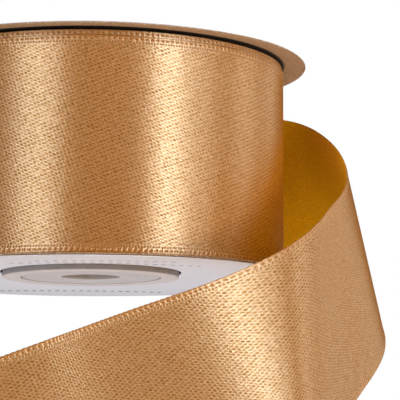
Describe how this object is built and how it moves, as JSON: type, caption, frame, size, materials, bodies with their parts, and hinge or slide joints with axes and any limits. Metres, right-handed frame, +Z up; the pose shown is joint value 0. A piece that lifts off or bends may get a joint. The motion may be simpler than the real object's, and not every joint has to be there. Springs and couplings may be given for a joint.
{
  "type": "ribbon spool",
  "caption": "Card reel of wide satin ribbon with a hollow hub. The free end is pulled off the roll and bent round the front, and it unwinds, bends at the loop and bends at the tip.",
  "frame": {"origin": "on the face that the reel stands on, the bottom end ring of the core tube, at the middle of the ring's wall and at its point nearest -Y; the reel's axis is 19.65 mm behind it, at x = 0, y = 0.01965", "axes": "+Z up along the reel's axis, -Y towards the side that the free end crosses, +X towards the loop of the free end"},
  "size_m": [0.1447, 0.15, 0.1433],
  "materials": {
    "kraft_board": "matte uncoated kraft board",
    "label_paper": "smooth white printed paper",
    "tube_paper": "white-faced paper tube",
    "plug_board": "matte grey board",
    "tape_film": "clear adhesive tape",
    "satin_gold": "gold satin ribbon, glossy outside and dull inside"
  },
  "bodies": {
    "reel": {"bottom_flange": "kraft_board", "top_flange": "kraft_board", "bottom_label": "label_paper", "top_label": "label_paper", "core_tube": "tube_paper", "bottom_plug": "plug_board", "top_plug": "plug_board", "start_tape": "tape_film", "ribbon_roll": "satin_gold"},
    "tail_turn": {"outer_turn": "satin_gold", "tail_lead": "satin_gold"},
    "tail_front": {"tail_front": "satin_gold"},
    "tail_tip": {"tail_tip": "satin_gold"}
  },
  "joints": [
    {"name": "tail_unwind", "type": "hinge", "parent": "reel", "child": "tail_turn", "pos_m": [0, 0.01965, 0.02655], "axis": [0, 0, 1], "continuous": true},
    {"name": "tail_loop_bend", "type": "hinge", "parent": "tail_turn", "child": "tail_front", "pos_m": [0.0473, 0.08038, 0.0262], "axis": [-0.3808, -0.0188, 0.9245], "range_deg": [-5, 60]},
    {"name": "tail_tip_bend", "type": "hinge", "parent": "tail_front", "child": "tail_tip", "pos_m": [-0.03686, -0.05667, -0.05688], "axis": [-0.1292, -0.2958, 0.9465], "range_deg": [-40, 40]}
  ]
}
